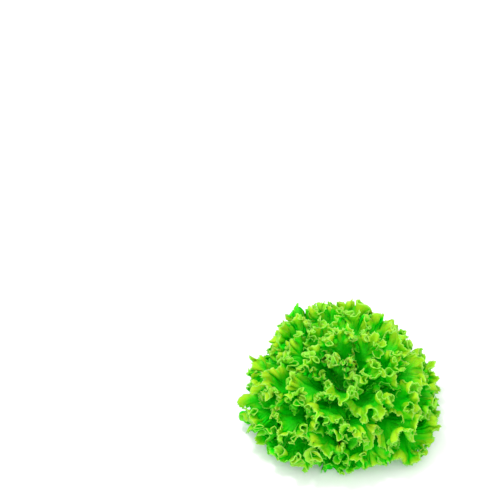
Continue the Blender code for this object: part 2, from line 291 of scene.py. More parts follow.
# Bending the leaves clear of each other, the outer ones down and the inner ones up


def coarseTopology():  # grid places kept after the midrib is welded, triangles, rim, averaging
    steps, rowCount = coarse["steps"], len(coarse["rows"])
    mesh = bmesh.new()
    bmesh.ops.create_grid(mesh, x_segments=steps, y_segments=rowCount - 1, size=1)
    bmesh.ops.triangulate(mesh, faces=mesh.faces[:], quad_method="FIXED")
    grid = mesh.verts.layers.int.new("grid")
    midrib = {}
    for vertex in mesh.verts:
        column = round((vertex.co.x + 1) / 2 * steps)
        row = round((vertex.co.y + 1) / 2 * (rowCount - 1))
        vertex[grid] = column * rowCount + row
        if row == 0:
            midrib[column] = vertex
    rightHalf = range(steps // 2 + 1, steps + 1)
    bmesh.ops.weld_verts(mesh, targetmap={midrib[k]: midrib[steps - k] for k in rightHalf})
    mesh.verts.index_update()
    kept = np.array([vertex[grid] for vertex in mesh.verts])
    triangles = [[vertex.index for vertex in face.verts] for face in mesh.faces]
    rim = [[vertex.index for vertex in edge.verts] for edge in mesh.edges if edge.is_boundary]
    average = np.zeros((len(kept), len(kept)))
    for edge in mesh.edges:
        a, b = (vertex.index for vertex in edge.verts)
        average[a, b] = 1
        average[b, a] = 1
    average /= average.sum(axis=1, keepdims=True)
    mesh.free()
    return {"kept": kept, "triangles": triangles, "rim": rim, "average": average}


def vertexNormals(points, triangles):  # each face weighted by its corner's angle
    corners = points[np.array(triangles)]
    normals = np.zeros_like(points)
    face = unit(np.cross(corners[:, 1] - corners[:, 0], corners[:, 2] - corners[:, 0]))
    for k in range(3):
        first = corners[:, (k + 1) % 3] - corners[:, k]
        second = corners[:, (k + 2) % 3] - corners[:, k]
        cosine = (first * second).sum(axis=-1)
        cosine /= np.linalg.norm(first, axis=-1) * np.linalg.norm(second, axis=-1) + 1e-12
        angle = np.arccos(np.clip(cosine, -1, 1))[:, None]
        np.add.at(normals, np.array(triangles)[:, k], face * angle)
    return unit(normals)


def facesTree(points, normals, thickness, topology):
    count = len(points)
    both = np.concatenate([points + normals * thickness / 2, points - normals * thickness / 2])
    triangles = list(topology["triangles"])
    triangles += [[index + count for index in triangle] for triangle in topology["triangles"]]
    for a, b in topology["rim"]:
        triangles += [[a, b, b + count], [a, b + count, a + count]]
        triangles += [[a, b, a + count], [b, b + count, a + count]]
    return BVHTree.FromPolygons(both.tolist(), triangles), triangles


def survey(leaf, topology):
    points = leaf["points"]
    normals = vertexNormals(points, topology["triangles"])
    spaced = clearing["blade"] + clearing["gap"]
    blades = [clearing["blade"] * margin for margin in clearing["foldMargins"]]
    leaf["triangleUp"] = leaf["up"][np.array(topology["triangles"])].mean(axis=1)
    leaf["sheet"] = BVHTree.FromPolygons(points.tolist(), topology["triangles"])
    leaf["spaced"], leaf["faces"] = facesTree(points, normals, spaced, topology)
    leaf["blades"] = [facesTree(points, normals, blade, topology)[0] for blade in blades]
    leaf["low"] = points.min(axis=0) - spaced
    leaf["high"] = points.max(axis=0) + spaced
    leaf["push"] = np.zeros_like(points)


def pushPast(moving, still, side):
    points = moving["points"]
    near = clearing["near"]
    close = np.all((points > still["low"] - near) & (points < still["high"] + near), axis=1)
    for index in np.nonzero(close)[0]:
        way = moving["up"][index] * side
        found = still["sheet"].ray_cast(points[index].tolist(), way.tolist(), clearing["reach"])
        if found[0] is not None and still["triangleUp"][found[2]] @ way * side > clearing["facing"]:
            step = 0.5 * (found[3] + clearing["blade"] + clearing["gap"])
            moving["push"][index] += way * min(step, clearing["largestPush"])


def nudge(moving, side, crossed):
    count = len(moving["points"])
    for index in {vertex % count for face in crossed for vertex in moving["faces"][face]}:
        moving["push"][index] += moving["up"][index] * side * clearing["nudge"]


def partLeaves(outer, inner):
    if np.any(outer["low"] > inner["high"]) or np.any(inner["low"] > outer["high"]):
        return False
    crossed = outer["spaced"].overlap(inner["spaced"])
    if crossed:
        pushPast(inner, outer, 1)
        pushPast(outer, inner, -1)
        nudge(outer, -1, {pair[0] for pair in crossed})
        nudge(inner, 1, {pair[1] for pair in crossed})
    return bool(crossed)


def openFold(leaf, topology):  # soften folds too tight for the blade
    count = len(leaf["points"])
    faces = leaf["faces"]
    tight = set()
    for blade in leaf["blades"]:
        for a, b in blade.overlap(blade):
            if a < b and not set(faces[a]) & set(faces[b]):
                tight.update(vertex % count for vertex in faces[a] + faces[b])
    average = topology["average"]
    share = np.zeros((count, 1))
    share[list(tight)] = clearing["soften"]
    share = np.maximum(share, clearing["softenNear"] * average @ share)
    leaf["points"] = leaf["points"] + share * (average @ leaf["points"] - leaf["points"])
    return bool(tight)


def bendClear(leaves, topology):
    steady = 0.5 * (np.eye(len(topology["kept"])) + topology["average"])
    pairs = [(a, b) for b in range(len(leaves)) for a in range(b)]
    for _ in range(clearing["rounds"]):
        for leaf in leaves:
            survey(leaf, topology)
        crossings = sum(partLeaves(leaves[a], leaves[b]) for a, b in pairs)
        for leaf in leaves:
            length = np.linalg.norm(leaf["push"], axis=-1, keepdims=True)
            push = leaf["push"] * np.minimum(1, clearing["largestPush"] / (length + 1e-9))
            leaf["points"] = leaf["points"] + steady @ steady @ push * leaf["freedom"]
            crossings += openFold(leaf, topology)
            leaf["points"][:, 2] = np.maximum(leaf["points"][:, 2], head["floorClearance"])
        if crossings == 0:
            return


def leafBends():  # for each leaf, how far each place of the coarse grid is bent
    topology = coarseTopology()
    steps, rowCount = coarse["steps"], len(coarse["rows"])
    leaves = []
    for number in range(head["leafCount"]):
        sheet = leafSheet(number, steps, coarse["rows"])
        for key, width in (("points", 3), ("up", 3), ("freedom", 1)):
            sheet[key] = sheet[key].reshape(-1, width)[topology["kept"]]
        leaves.append(sheet)
    start = [leaf["points"].copy() for leaf in leaves]
    bendClear(leaves, topology)
    place = {grid: index for index, grid in enumerate(topology["kept"])}
    order = []
    for column in range(steps + 1):
        for row in range(rowCount):
            own, mirrored = column * rowCount + row, (steps - column) * rowCount + row
            order.append(place[own] if own in place else place[mirrored])
    shape = (steps + 1, rowCount, 3)
    return [(leaf["points"] - was)[order].reshape(shape) for leaf, was in zip(leaves, start)]


# Fine frills on the leaves

curls = {
    "rows": (0, 0.2, 0.38, 0.53, 0.65, 0.75, 0.83, 0.895, 0.95, 1.0),
    "marginStep": 1.48 * mm,  # of the folded margin, for each step of the grid
    "roughSteps": 200,  # for a first measure of the margin
    "gathering": 1.6,  # how much longer the fine curls make it
    "fan": (0.12, 0.45),  # where the curls begin, from the feet of the margin (0) to the tip (1)
    "broadSide": math.radians(-15),  # leaves towards this heading have broader curls
    "broadSpread": (-0.2, 0.9),
    "broadCalm": 0.8,
    "broader": 2.1,
    "calm": (0.68, 1.15),  # from one leaf to the next, the height of the small curls
    "calmSeed": 200,
    "lowest": 0.8 * mm,
}
crossFrill = {  # waves that all leaves share; pairs give the outermost and the innermost leaf
    "height": (5.5 * mm, 4 * mm),
    "reach": (0.2, 0.8),  # share of the height that is even over the leaf, and share at the margin
    "evenFrom": 0.3,
    "from": 0.15,  # from the midrib (0) to the margin (1)
    "flare": 1.4,
    "foldOver": 0.3,
    "radius": 95 * mm,
    "bend": 0.8,
    "bendLength": 17 * mm,
    # cycles round the head, length outwards, share of the height, phase
    "waves": ((22, 72 * mm, 0.75, 0.3), (13, -33 * mm, 0.60, 2.1),
              (-10, -29 * mm, 0.55, 4.4), (32, 54 * mm, 0.35, 1.0)),
}
lobes = {"height": 1.9 * mm, "length": 24 * mm, "from": 0.4, "flare": 1.5, "seed": 40}
ruffles = {  # along each margin, on the waves above
    "height": (7.6 * mm, 5.2 * mm),
    "length": (14.5 * mm, 12 * mm),
    "broaden": 1.0,  # how much of the leaf's broadness they take
    "calm": 1.0,
    "from": 0.3,
    "flare": 1.6,
    "foldOver": 0.32,
    "cup": 0.1,  # how much further they rise on the upper side than on the underside
    "stray": (1.8, 50 * mm, 50),  # size, length and seed
    "uneven": (0.35, 60 * mm, 60),
    "unevenLimits": (0.55, 1.2),
    "slant": 1.0,
    "twist": 0.6,
}
crimps = {  # along each margin, on the ruffles
    "height": (1.5 * mm, 1.2 * mm),
    "length": (5.8 * mm, 5.2 * mm),
    "broaden": 0.3,
    "calm": 0.5,
    "from": 0.65,
    "flare": 1.5,
    "foldOver": 0.35,
    "cup": 0.0,
    "stray": (1.6, 20 * mm, 90),
    "uneven": (0.4, 25 * mm, 95),
    "unevenLimits": (-0.2, 2.2),
    "slant": 0.8,
    "twist": 0.0,
}
teeth = {
    "height": 2.3 * mm,
    "pitch": 3.0 * mm,
    "cuts": 2,  # new points on each step of the margin
    "sharpness": 1.3,
    "depth": 0.35,
    "stray": (0.4, 9 * mm, 70),
    "uneven": (0.5, 14 * mm, 75),
}


def smoothAlong(field, places):  # smooth curve through the columns of a field
    count = len(field)
    low = np.clip(places.astype(int), 0, count - 2)
    t = (places - low).reshape((-1,) + (1,) * (field.ndim - 1))
    a, b, c, d = (field[np.clip(low + k, 0, count - 1)] for k in (-1, 0, 1, 2))
    square, cube = 2 * a - 5 * b + 4 * c - d, 3 * b - a - 3 * c + d
    return 0.5 * (2 * b + (c - a) * t + square * t ** 2 + cube * t ** 3)


def spreadBend(bend, steps, rows):  # from the coarse grid to a fine one
    along = smoothAlong(bend, np.linspace(0, coarse["steps"], steps + 1))
    low, middle, high = coarse["rows"]
    v = np.array(rows)[None, :, None]
    first = (v - middle) * (v - high) / ((low - middle) * (low - high))
    second = (v - low) * (v - high) / ((middle - low) * (middle - high))
    third = (v - low) * (v - middle) / ((high - low) * (high - middle))
    return along[:, :1] * first + along[:, 1:2] * second + along[:, 2:] * third


def closeMidrib(grid):  # both halves of a leaf meet in one line
    grid[:, 0] = 0.5 * (grid[:, 0] + grid[::-1, 0])
    return grid


def directions(points):  # normal, along the margin, outward to the margin
    along = np.gradient(points, axis=0)
    outward = np.gradient(points, axis=1)
    normal = unit(np.cross(along, outward))
    normal[:, 0] = unit(normal[:, 1] + normal[::-1, 1])
    return normal, unit(along), unit(outward)


def marginLength(points):  # true distance along the folded margin, 0 at the tip
    steps = np.linalg.norm(np.diff(points[:, -1], axis=0), axis=1)
    distance = runningSum(steps)
    return (distance - distance[len(distance) // 2])[:, None] + 0 * points[..., 0]


def varied(distance, setting, number):  # random wave along the margin, its own for each leaf
    size, length, seed = setting
    return size * wander(distance, seed + number, length)


def crossCurl(points, share, fan, tip, rows):  # waves that run through all leaves
    angle = np.arctan2(points[..., 1], points[..., 0])
    rise, foldRound, foldOut = sharedWaves(crossFrill, angle, np.linalg.norm(points, axis=-1))
    even, atMargin = crossFrill["reach"]
    reach = even * ease(crossFrill["evenFrom"], 1.0, tip)
    reach = reach + atMargin * grow(crossFrill["from"], rows, crossFrill["flare"])
    height = between(crossFrill["height"], share) * fan * reach
    normal, along, outward = directions(points)
    moved = rise[..., None] * normal + foldRound[..., None] * along + foldOut[..., None] * outward
    return closeMidrib(points + height[..., None] * moved)


def drawOut(points, fan, rows, number):  # slow lobes of the margin
    away = lobes["height"] * fan * grow(lobes["from"], rows, lobes["flare"])
    away = away * wander(marginLength(points), lobes["seed"] + number, lobes["length"])
    return closeMidrib(points + away[..., None] * directions(points)[2])


def curl(points, kind, number, share, fan, rows, broader, lively):  # waves that fold over
    distance = marginLength(points)
    phase = distance * 2 * math.pi / (between(kind["length"], share) * broader ** kind["broaden"])
    phase = phase + varied(distance, kind["stray"], number)
    phase = phase + kind["slant"] * rows + kind["twist"] * np.sin(5 * rows + number)
    height = between(kind["height"], share) * lively ** kind["calm"] * fan
    height = height * grow(kind["from"], rows, kind["flare"])
    height = height * np.clip(1 + varied(distance, kind["uneven"], number), *kind["unevenLimits"])
    normal, along, _ = directions(points)
    points = points + (height * (np.sin(phase) - kind["cup"]))[..., None] * normal
    points = points - (kind["foldOver"] * height * np.sin(2 * phase))[..., None] * along
    return closeMidrib(points)


def toothHeight(distance, number):  # how far the margin stands out, from its true length
    pitch = distance / teeth["pitch"] + varied(distance, teeth["stray"], number)
    tooth = (np.abs(pitch % 1.0 - 0.5) * 2) ** teeth["sharpness"]
    return teeth["height"] * (1 + varied(distance, teeth["uneven"], number)) * (tooth - teeth["depth"])


def curledLeaf(number, bend):
    share = (number + 0.5) / head["leafCount"]
    rough = leafSheet(number, curls["roughSteps"], coarse["rows"])["points"]
    length = float(np.ptp(marginLength(rough))) * curls["gathering"]
    steps = 2 * round(length / curls["marginStep"] / 2)
    sheet = leafSheet(number, steps, curls["rows"])
    points = closeMidrib(sheet["points"] + spreadBend(bend, steps, curls["rows"]))
    rows = np.array(curls["rows"])[None, :]
    tip = 1 - np.abs(np.linspace(-1, 1, steps + 1))[:, None]  # 0 at the feet of the margin
    fan = ease(*curls["fan"], tip)
    broad = ease(*curls["broadSpread"], math.cos(sheet["heading"] - curls["broadSide"]))
    calm = np.random.default_rng(curls["calmSeed"] + number).uniform(0, 1) ** 2
    broader = 1 + (curls["broader"] - 1) * max(broad, calm)
    lively = between(curls["calm"], 1 - max(curls["broadCalm"] * broad, calm))
    points = crossCurl(points, share, fan, tip, rows)
    points = drawOut(points, fan, rows, number)
    for kind in (ruffles, crimps):
        points = curl(points, kind, number, share, fan, rows, broader, lively)
    points[..., 2] = np.maximum(points[..., 2], curls["lowest"])
    return points, fan[:, 0], share


# How much of the sky each place on a leaf sees, for its colour: painted shade (deeper, purer green) where
# little sky is seen, painted light (yellower green) where much is

sky = {
    "rays": 14,
    "lowest": 0.15,  # height of the lowest ray, on a dome of radius 1
    "skip": 1.2 * mm,  # past the leaf's own surface
    "reach": 80 * mm,
    "spacing": 5,  # steps along the margin between two places that are measured
}


def skyRays():
    rays = []
    for k in range(sky["rays"]):
        up = sky["lowest"] + (1 - sky["lowest"]) * (k + 0.5) / sky["rays"]
        side = math.sqrt(1 - up * up)
        turn = k * head["spiralStep"]
        rays.append(Vector((side * math.cos(turn), side * math.sin(turn), up)))
    return rays


def foliageTree(sheets):
    corners, faces, start = [], [], 0
    for points in sheets:
        place = start + np.arange(points.shape[0] * points.shape[1]).reshape(points.shape[:2])
        quads = np.stack([place[:-1, :-1], place[1:, :-1], place[1:, 1:], place[:-1, 1:]], axis=-1)
        corners += points.reshape(-1, 3).tolist()
        faces += quads.reshape(-1, 4).tolist()
        start += place.size
    return BVHTree.FromPolygons(corners, faces)


def openSky(points, tree, rays):  # 0 where all rays are stopped, 1 where none is
    columns = np.arange(0, len(points), sky["spacing"])
    seen = np.zeros((len(columns), points.shape[1]))
    for i, column in enumerate(columns):
        for j in range(points.shape[1]):
            place = Vector(points[column, j])
            hits = [tree.ray_cast(place + ray * sky["skip"], ray, sky["reach"])[0] for ray in rays]
            seen[i, j] = sum(hit is None for hit in hits) / len(rays)
    return smoothAlong(seen, np.arange(len(points)) / sky["spacing"])


# Meshes of the leaves

blade = {
    "thickness": 0.6 * mm,
    "ribThickness": 4.2 * mm,
    "ribHalfWidth": (4.5 * mm, 2.2 * mm),
    "ribTaper": 3,
    "weld": 0.01 * mm,
    "overFloor": 0.2 * mm,
}


def clearSelection():
    bpy.ops.object.select_all(action="DESELECT")


def applyModifier(piece, name):
    clearSelection()
    piece.select_set(True)
    bpy.context.view_layer.objects.active = piece
    bpy.ops.object.modifier_apply(modifier=name)


def floatAttribute(mesh, name, values):
    attribute = mesh.attributes.new(name, "FLOAT", "POINT")
    attribute.data.foreach_set("value", np.asarray(values, np.float32).ravel())


def leafGrid(name, points):  # a grid primitive shaped to the leaf
    steps, rowCount = points.shape[0] - 1, points.shape[1]
    clearSelection()
    bpy.ops.mesh.primitive_grid_add(
        x_subdivisions=steps, y_subdivisions=rowCount - 1, size=2, calc_uvs=True)
    leaf = bpy.context.object
    leaf.name = name
    leaf.data.name = name
    flat = np.zeros(len(leaf.data.vertices) * 3)
    leaf.data.vertices.foreach_get("co", flat)
    flat = flat.reshape(-1, 3)
    column = np.rint((flat[:, 0] + 1) / 2 * steps).astype(int)
    row = np.rint((flat[:, 1] + 1) / 2 * (rowCount - 1)).astype(int)
    leaf.data.vertices.foreach_set("co", points[column, row].ravel())
    return leaf, column, row


def measureLeaf(leaf, points, share, seen, column, row):  # what the materials and the thickness read
    veins = np.linalg.norm(np.diff(points, axis=1), axis=-1)
    start = np.zeros((len(veins), 1))
    fromMargin = np.concatenate([np.cumsum(veins[:, ::-1], axis=1)[:, ::-1], start], axis=1)
    fromMidrib = np.concatenate([start, np.cumsum(veins, axis=1)], axis=1)
    ribLength = runningSum(np.linalg.norm(np.diff(points[:, 0], axis=0), axis=1))
    upRib = np.minimum(ribLength, ribLength[-1] - ribLength) / ribLength[-1] * 2  # 0 at the stem
    floatAttribute(leaf.data, "fromMargin", fromMargin[column, row])
    floatAttribute(leaf.data, "alongMargin", marginLength(points)[column, row])
    # share of the sky each place sees, for the painted shade and painted light of its colour
    floatAttribute(leaf.data, "openSky", seen[column, row])
    rib = np.exp(-(fromMidrib / between(blade["ribHalfWidth"], share)) ** 2)
    rib = rib * (1 - upRib)[:, None] ** blade["ribTaper"]
    floatAttribute(leaf.data, "ribShare", rib[column, row])
    return rib[column, row]


def cutTeeth(leaf, points, fan, number):  # finer steps along the margin, which stand out as teeth
    distance = marginLength(points)[:, -1]
    outward = directions(points)[2][:, -1]
    steps = len(points) - 1
    cuts = teeth["cuts"] + 1
    places = np.arange(steps * cuts + 1) / cuts
    margin = smoothAlong(points[:, -1], places)
    way = unit(smoothAlong(outward, places))
    height = toothHeight(smoothAlong(distance, places), number) * smoothAlong(fan, places)
    toothed = margin + height[:, None] * way
    mesh = bmesh.new()
    mesh.from_mesh(leaf.data)
    mesh.verts.ensure_lookup_table()
    place = mesh.verts.layers.float.new("place")
    uv = mesh.loops.layers.uv.active
    nearlyOne = 0.999
    edges = []
    for edge in mesh.edges:
        corners = (edge.link_loops[0], edge.link_loops[0].link_loop_next)
        if edge.is_boundary and all(corner[uv].uv[1] > nearlyOne for corner in corners):
            for corner in corners:
                corner.vert[place] = corner[uv].uv[0] * steps + 1
            edges.append(edge)
    bmesh.ops.subdivide_edges(mesh, edges=edges, cuts=teeth["cuts"])
    for vertex in mesh.verts:
        if vertex[place] >= nearlyOne:
            vertex.co = toothed[round((vertex[place] - 1) * cuts)]
    mesh.verts.layers.float.remove(place)
    mesh.to_mesh(leaf.data)
    mesh.free()


def thicken(leaf, rib, count):  # thin blade with a rib along its middle
    thin = blade["thickness"] / blade["ribThickness"]
    weight = thin + (1 - thin) * rib
    group = leaf.vertex_groups.new(name="thickness")
    group.add(list(range(count, len(leaf.data.vertices))), thin, "REPLACE")
    for index, value in enumerate(weight):
        group.add([index], float(value), "REPLACE")
    weldMidrib(leaf)
    rim = 2 * len(leaf.data.edges) - len(leaf.data.loops)
    solid = leaf.modifiers.new("blade", "SOLIDIFY")
    solid.thickness = blade["ribThickness"]
    solid.offset = 0
    solid.vertex_group = "thickness"
    applyModifier(leaf, "blade")
    leaf.vertex_groups.clear()
    faces = len(leaf.data.polygons)
    leaf.data.polygons.foreach_set("use_smooth", np.arange(faces) < faces - rim)
    corners = np.arange(len(leaf.data.vertices))
    floatAttribute(leaf.data, "underside", corners < len(corners) / 2)
    for vertex in leaf.data.vertices:
        vertex.co.z = max(vertex.co.z, blade["overFloor"])


def weldMidrib(leaf):
    clearSelection()
    leaf.select_set(True)
    bpy.context.view_layer.objects.active = leaf
    bpy.ops.object.mode_set(mode="EDIT")
    bpy.ops.mesh.select_all(action="SELECT")
    bpy.ops.mesh.remove_doubles(threshold=blade["weld"])
    bpy.ops.object.mode_set(mode="OBJECT")


def addLeaf(number, points, fan, share, seen, material):
    solidName = f"leaf_{number + 1:02d}"
    leaf, column, row = leafGrid(f"curled_{solidName}", points)
    rib = measureLeaf(leaf, points, share, seen, column, row)
    count = len(leaf.data.vertices)
    cutTeeth(leaf, points, fan, number)
    thicken(leaf, rib, count)
    leaf.data.materials.append(material)
    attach(leaf, "root")
    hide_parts(solidName)
    return leaf


# Stem

stemShape = {
    "radius": 19.6 * mm,
    "bevel": 1.2 * mm,
    "bevelSegments": 3,
    "shoulderZ": 7 * mm,
    "cone": ((12 * mm, 16 * mm), (6 * mm, 26 * mm), (1.4 * mm, 36 * mm)),  # radius and height
    "inset": 0.1 * mm,
    "sides": 96,
}


def addStem(material):
    clearSelection()
    height = stemShape["shoulderZ"]
    bpy.ops.mesh.primitive_cylinder_add(
        vertices=stemShape["sides"], radius=stemShape["radius"], depth=height, location=(0, 0, height / 2))
    stem = bpy.context.object
    stem.name = "cut_stem"
    bpy.ops.object.transform_apply(location=True, rotation=True, scale=True)
    mesh = bmesh.new()
    mesh.from_mesh(stem.data)
    top = max(mesh.faces, key=lambda face: face.normal.z)
    for radius, z in stemShape["cone"]:
        bmesh.ops.inset_region(mesh, faces=[top], thickness=stemShape["inset"])
        for vertex in top.verts:
            vertex.co = Vector((vertex.co.x, vertex.co.y, 0)).normalized() * radius + Vector((0, 0, z))
    bottom = min(mesh.faces, key=lambda face: face.normal.z)
    bmesh.ops.bevel(mesh, geom=list(bottom.edges), offset=stemShape["bevel"],
                    segments=stemShape["bevelSegments"], affect="EDGES")
    mesh.to_mesh(stem.data)
    mesh.free()
    stem.data.materials.append(material)
    stem.data.shade_smooth()
    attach(stem, "root")
    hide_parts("stem")


# Materials

leafColours = {  # from the margin inwards, with the distance in millimetres; the shaded colours are painted shade, the open ones painted light
    # the paler, bluer band within about a millimetre of the margin is a painted edge highlight; the
    # yellow-green frills fading to deep green inwards are the leaf's own colour
    "open": ((0, (0.62, 0.91, 0.18)), (1.0, (0.59, 0.90, 0.10)), (2.0, (0.51, 0.84, 0.020)),
             (6, (0.54, 0.80, 0.010)), (13, (0.38, 0.79, 0.004)), (22, (0.07, 0.80, 0.002)),
             (40, (0.011, 0.77, 0.002))),
    "shaded": ((0, (0.19, 0.95, 0.05)), (0.8, (0.10, 0.93, 0.02)), (1.8, (0.018, 0.90, 0.005)),
               (6, (0.004, 0.87, 0.002)), (13, (0.001, 0.84, 0.001)), (22, (0.001, 0.80, 0.001)),
               (40, (0.001, 0.76, 0.001))),
    "patch": (1.08, 1.0, 0.8),  # yellower patches, as a factor
    "underside": (0.22, 0.86, 0.06),
    "rib": (0.55, 0.90, 0.30),
    "base": (0.80, 0.90, 0.58),  # of the leaf stalks round the stem
}
leafTints = {
    "outer_leaf": (0.94, 0.98, 1.0),
    "middle_leaf": (1.0, 1.0, 1.0),
    "heart_leaf": (0.92, 1.0, 0.9),
}
leafFinish = {
    "roughness": 0.5,
    "specular": 0.1,
    "through": 0.45,  # share of the light that passes the blade
    "sky": (0.13, 0.60),  # shares of the sky at which a place has its painted-shade and its painted-light colours
    "facing": (-0.7, 0.5),  # painted shade on blades that face the floor, painted light on those that face the sky; from facing the floor to facing the sky
    "facingDown": 0.4,  # share of the painted-light colours kept where the blade faces the floor, the rest being painted shade
    "patchSize": 40 * mm,
    "patchEdge": (0.45, 0.65),
    "undersideShare": 0.4,
    "undersideLeast": 0.35,
    "base": (24 * mm, 52 * mm),  # from the middle of the cut face
    "baseShare": 0.9,
    "ribShare": 0.8,
    "veinShare": 0.25,
    "veinPitch": 8 * mm,  # along the margin
    "veinWidth": 0.07,  # of the pitch
    "veinDrift": 0.5,
    "veinEnd": (1 * mm, 8 * mm),  # from the margin
    "veinDepth": 0.7,
    "netPitch": 3.2 * mm,
    "netWidth": 0.12,
    "netShare": 0.35,
    "netDepth": 0.3,
    "relief": 0.35 * mm,
    "bump": 0.6,
}
stemFinish = {
    "pith": (0.86, 0.88, 0.66),
    "skin": (0.58, 0.74, 0.30),
    "neck": (0.02, 0.50, 0.006),  # painted shade: the deep green of the shaded leaves, on the stem's top between the leaves of the heart
    "browned": (0.42, 0.25, 0.09),
    "skinZ": (0.4 * mm, 2 * mm),
    "neckZ": (8 * mm, 18 * mm),
    "ringRadius": 13.5 * mm,
    "ringWidth": 1.6 * mm,
    "vesselEdge": (0.2, 0.5),
    "betweenVessels": 0.2,
    "stainScale": 180.0,
    "stainEdge": (0.4, 0.75),
    "stainShare": (0.05, 0.6),
    "stainMost": 0.75,
    "roughness": 0.45,
    "specular": 0.3,
    "bump": 0.4,
    "relief": 0.3 * mm,
}


def node(tree, kind, settings=(), **inputs):  # a shader node, with values or links for its sockets
    made = tree.nodes.new(kind)
    for name, value in dict(settings).items():
        setattr(made, name, value)
    for name, value in inputs.items():
        key = int(name[1:]) if name[1:].isdigit() else name.replace("_", " ")
        if isinstance(value, bpy.types.NodeSocket):
            tree.links.new(value, made.inputs[key])
        else:
            made.inputs[key].default_value = value
    return made


def calculate(tree, operation, *values):
    inputs = {f"i{k}": value for k, value in enumerate(values)}
    return node(tree, "ShaderNodeMath", {"operation": operation}, **inputs).outputs[0]


def mapped(tree, value, low, high, toLow=0.0, toHigh=1.0):
    settings = {"interpolation_type": "SMOOTHSTEP"}
    ranged = node(tree, "ShaderNodeMapRange", settings, i0=value, i1=low, i2=high, i3=toLow, i4=toHigh)
    return ranged.outputs[0]


def blended(tree, share, first, second, blend="MIX"):
    settings = {"data_type": "RGBA", "blend_type": blend}
    return node(tree, "ShaderNodeMix", settings, i0=share, i6=first, i7=second).outputs[2]


def colourRamp(tree, value, colours):
    ramp = tree.nodes.new("ShaderNodeValToRGB")
    elements = ramp.color_ramp.elements
    full = colours[-1][0]
    elements[0].color = colours[0][1] + (1,)
    elements[1].position = 1
    elements[1].color = colours[-1][1] + (1,)
    for distance, colour in colours[1:-1]:
        elements.new(distance / full).color = colour + (1,)
    tree.links.new(calculate(tree, "DIVIDE", value, full * mm), ramp.inputs[0])
    return ramp.outputs[0]


def attribute(tree, name):
    return node(tree, "ShaderNodeAttribute", {"attribute_name": name}).outputs["Fac"]


def newGroup(name, inputs, outputs):
    tree = bpy.data.node_groups.new(name, "ShaderNodeTree")
    for label, kind in inputs:
        tree.interface.new_socket(name=label, in_out="INPUT", socket_type="NodeSocket" + kind)
    for label, kind in outputs:
        tree.interface.new_socket(name=label, in_out="OUTPUT", socket_type="NodeSocket" + kind)
    return tree, tree.nodes.new("NodeGroupInput").outputs, tree.nodes.new("NodeGroupOutput").inputs


def leafVeins():  # side veins that fan out to the margin, and a fine net between them
    inputs = (("Along", "Float"), ("Distance", "Float"))
    tree, given, made = newGroup("leaf veins", inputs, (("Vein", "Float"), ("Height", "Float")))
    finish = leafFinish
    place = node(tree, "ShaderNodeTexCoord").outputs["Object"]
    scale = finish["veinDrift"] / finish["veinPitch"]
    drift = node(tree, "ShaderNodeTexNoise", Vector=place, Scale=scale).outputs[0]
    turns = calculate(tree, "DIVIDE", given["Along"], finish["veinPitch"])
    side = calculate(tree, "PINGPONG", calculate(tree, "ADD", turns, drift), 0.5)
    side = mapped(tree, side, 0.0, finish["veinWidth"], 1.0, 0.0)
    side = calculate(tree, "MULTIPLY", side, mapped(tree, given["Distance"], *finish["veinEnd"]))
    settings = {"feature": "DISTANCE_TO_EDGE"}
    net = node(tree, "ShaderNodeTexVoronoi", settings, Vector=place, Scale=1 / finish["netPitch"])
    net = mapped(tree, net.outputs[0], 0.0, finish["netWidth"], 1.0, 0.0)
    faint = calculate(tree, "MULTIPLY", net, finish["netShare"])
    tree.links.new(calculate(tree, "MAXIMUM", side, faint), made["Vein"])
    rise = calculate(tree, "MULTIPLY", net, -finish["netDepth"])
    sunk = calculate(tree, "MULTIPLY", side, finish["veinDepth"])
    tree.links.new(calculate(tree, "SUBTRACT", rise, sunk), made["Height"])
    return tree


def leafGreen():  # light at the margin, its last millimetre a painted edge highlight, and deep green inwards; deeper green in painted shade and yellower in painted light, from the share of the sky and the way the blade faces
    inputs = [(label, "Float") for label in ("Distance", "Sky", "Rib", "Underside", "Vein", "Up")]
    inputs.append(("Tint", "Color"))
    tree, given, made = newGroup("leaf green", inputs, (("Color", "Color"),))
    finish, colours = leafFinish, leafColours
    # painted shade on blades that face the floor, whatever light falls on them
    facing = mapped(tree, given["Up"], *finish["facing"], finish["facingDown"], 1.0)
    # painted light where the place sees the sky and faces up, painted shade elsewhere
    light = calculate(tree, "MULTIPLY", mapped(tree, given["Sky"], *finish["sky"]), facing)
    shaded = colourRamp(tree, given["Distance"], colours["shaded"])
    green = blended(tree, light, shaded, colourRamp(tree, given["Distance"], colours["open"]))
    place = node(tree, "ShaderNodeTexCoord").outputs["Object"]
    patch = node(tree, "ShaderNodeTexNoise", Vector=place, Scale=1 / finish["patchSize"]).outputs[0]
    patch = mapped(tree, patch, *finish["patchEdge"])
    green = blended(tree, patch, green, colours["patch"] + (1,), "MULTIPLY")
    green = blended(tree, 1.0, green, given["Tint"], "MULTIPLY")
    # the paler underside, ribs and veins show fully where painted light falls and fade into the painted
    # shade
    least = calculate(tree, "MULTIPLY", given["Underside"], finish["undersideLeast"])
    shownInLight = calculate(tree, "MAXIMUM", light, least)
    pale = calculate(tree, "MULTIPLY", given["Underside"], shownInLight)
    pale = calculate(tree, "MULTIPLY", pale, finish["undersideShare"])
    green = blended(tree, pale, green, colours["underside"] + (1,))
    bright = calculate(tree, "MULTIPLY", shownInLight, finish["veinShare"])
    bright = calculate(tree, "MULTIPLY", given["Vein"], bright)
    rib = calculate(tree, "MAXIMUM", bright, calculate(tree, "MULTIPLY", given["Rib"], shownInLight))
    green = blended(tree, rib, green, colours["rib"] + (1,))
    foot = node(tree, "ShaderNodeVectorMath", {"operation": "LENGTH"}, i0=place).outputs["Value"]
    base = mapped(tree, foot, *finish["base"], finish["baseShare"], 0.0)
    base = calculate(tree, "MULTIPLY", base, given["Underside"])
    tree.links.new(blended(tree, base, green, colours["base"] + (1,)), made["Color"])
    return tree


def newMaterial(name):
    material = bpy.data.materials.new(name)
    material.use_nodes = True
    tree = material.node_tree
    tree.nodes.clear()
    return material, tree, tree.nodes.new("ShaderNodeOutputMaterial").inputs["Surface"]


